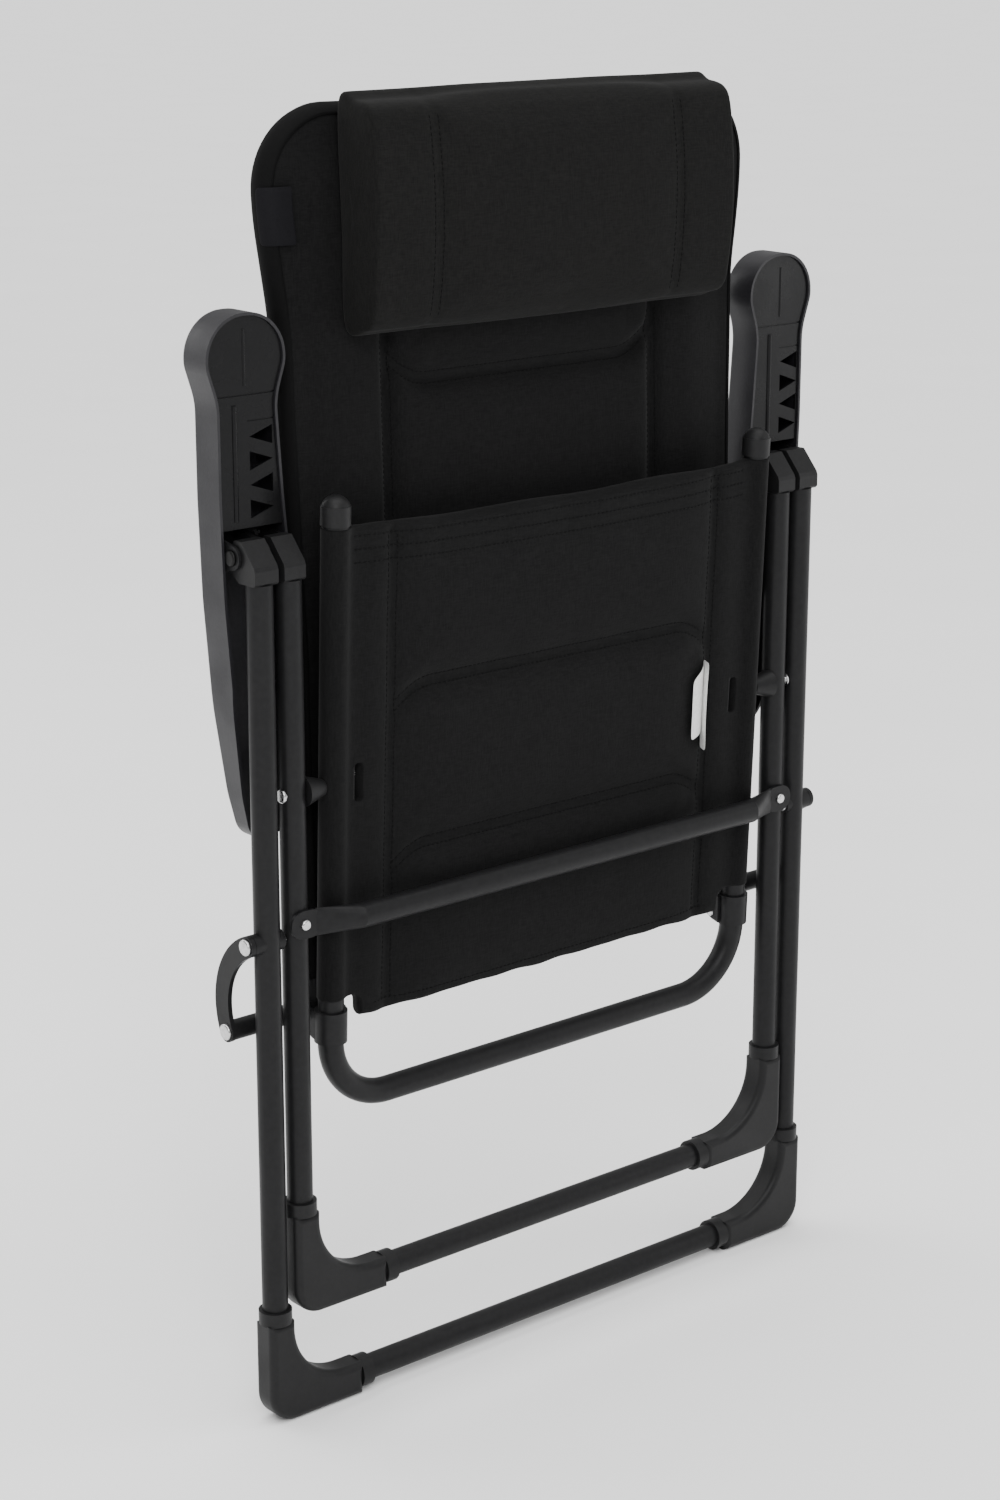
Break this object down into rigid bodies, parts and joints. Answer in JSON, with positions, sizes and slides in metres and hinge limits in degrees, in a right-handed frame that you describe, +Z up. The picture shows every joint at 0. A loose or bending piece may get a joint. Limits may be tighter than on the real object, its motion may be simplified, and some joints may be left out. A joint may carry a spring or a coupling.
{
  "type": "folding camp chair",
  "caption": "Folding reclining camp chair, folded flat: two U-shaped tube legs, padded seat and high back with headrest, armrests notched for recline.",
  "frame": {"origin": "on the ground, mid-way between the rear feet and mid-way through the folded depth", "axes": "+Z up along the folded chair, +Y to the back of the folded chair, +X to the right seen from its front"},
  "size_m": [0.664, 0.103, 1.0963],
  "materials": {
    "frame_paint": "satin powder coat",
    "foot_plastic": "fine matte",
    "arm_plastic": "fine matte",
    "rivet_metal": "zinc plated",
    "cover_fabric": "woven polyester",
    "pillow_fabric": "woven polyester",
    "label_fabric": "printed satin ribbon, left blank",
    "tab_fabric": "woven ribbon, left blank"
  },
  "bodies": {
    "rear_leg": {"rear_leg_tube": "frame_paint", "rear_foot_left": "foot_plastic", "rear_foot_right": "foot_plastic", "rear_leg_plug_left": "foot_plastic", "rear_leg_plug_right": "foot_plastic", "link_saddles": "frame_paint", "link_pivot_rivets": "rivet_metal"},
    "front_leg": {"front_leg_tube": "frame_paint", "front_foot_left": "foot_plastic", "front_foot_right": "foot_plastic", "front_leg_plug_left": "foot_plastic", "front_leg_plug_right": "foot_plastic", "front_brace": "frame_paint", "brace_rivets": "rivet_metal", "seat_pivot_spacer_left": "foot_plastic", "seat_pivot_spacer_right": "foot_plastic", "seat_pivot_rivets": "rivet_metal"},
    "seat": {"seat_tube": "frame_paint", "seat_cap_left": "foot_plastic", "seat_cap_right": "foot_plastic", "seat_cover": "cover_fabric", "care_label": "label_fabric", "seat_clamp_left": "frame_paint", "seat_clamp_right": "frame_paint", "seat_clamp_rivets": "rivet_metal"},
    "back_pivots": {"back_pivot_spacers": "frame_paint", "back_pivot_bolts": "rivet_metal"},
    "back": {"back_tube": "frame_paint", "back_cover": "cover_fabric", "back_stud_left": "foot_plastic", "back_stud_right": "foot_plastic", "name_tab": "tab_fabric"},
    "headrest": {"headrest_pillow": "pillow_fabric", "headrest_flap": "pillow_fabric"},
    "arm_pivots": {"arm_pivot_bolts": "rivet_metal"},
    "link_left": {"link_left": "frame_paint", "link_end_rivet_left": "rivet_metal"},
    "armrest_left": {"armrest_shell_left": "arm_plastic", "armrest_hinge_left": "frame_paint", "armrest_rack_left": "frame_paint", "armrest_lid_left": "arm_plastic", "armrest_screws_left": "rivet_metal"},
    "link_right": {"link_right": "frame_paint", "link_end_rivet_right": "rivet_metal"},
    "armrest_right": {"armrest_shell_right": "arm_plastic", "armrest_hinge_right": "frame_paint", "armrest_rack_right": "frame_paint", "armrest_lid_right": "arm_plastic", "armrest_screws_right": "rivet_metal"}
  },
  "joints": [
    {"name": "fold", "type": "hinge", "parent": "rear_leg", "child": "front_leg", "pos_m": [0, -0.001, 0.748], "axis": [-1, 0, 0], "range_deg": [0, 50]},
    {"name": "seat_fold", "type": "hinge", "parent": "front_leg", "child": "seat", "pos_m": [0, -0.019, 0.551], "axis": [1, 0, 0], "range_deg": [0, 95.6]},
    {"name": "back_fold", "type": "hinge", "parent": "seat", "child": "back_pivots", "pos_m": [0, 0.014, 0.348], "axis": [-1, 0, 0], "range_deg": [0, 86.9]},
    {"name": "recline", "type": "hinge", "parent": "back_pivots", "child": "back", "pos_m": [0, 0.014, 0.348], "axis": [-1, 0, 0], "range_deg": [0, 21]},
    {"name": "headrest_lift", "type": "slide", "parent": "back", "child": "headrest", "axis": [0, 0.0297, 0.9996], "range_m": [0, 0.05]},
    {"name": "arm_fold", "type": "hinge", "parent": "rear_leg", "child": "arm_pivots", "pos_m": [0, -0.001, 0.748], "axis": [1, 0, 0], "range_deg": [0, 54.8]},
    {"name": "arm_tilt_left", "type": "hinge", "parent": "arm_pivots", "child": "armrest_left", "pos_m": [0, -0.001, 0.748], "axis": [-1, 0, 0], "range_deg": [0, 5.6]},
    {"name": "link_fold_left", "type": "hinge", "parent": "rear_leg", "child": "link_left", "pos_m": [0, -0.017, 0.43], "axis": [1, 0, 0], "range_deg": [0, 146.2]},
    {"name": "arm_tilt_right", "type": "hinge", "parent": "arm_pivots", "child": "armrest_right", "pos_m": [0, -0.001, 0.748], "axis": [-1, 0, 0], "range_deg": [0, 5.6]},
    {"name": "link_fold_right", "type": "hinge", "parent": "rear_leg", "child": "link_right", "pos_m": [0, -0.017, 0.43], "axis": [1, 0, 0], "range_deg": [0, 146.2]}
  ],
  "couplings": [
    {"joint": "seat_fold", "follows": "fold", "ratio": 1.9018},
    {"joint": "back_fold", "follows": "fold", "ratio": 1.7278},
    {"joint": "arm_fold", "follows": "fold", "ratio": 1.0864},
    {"joint": "arm_tilt_left", "follows": "recline", "ratio": 0.2546},
    {"joint": "link_fold_left", "follows": "fold", "ratio": 2.9142},
    {"joint": "arm_tilt_right", "follows": "recline", "ratio": 0.2546},
    {"joint": "link_fold_right", "follows": "fold", "ratio": 2.9142}
  ]
}
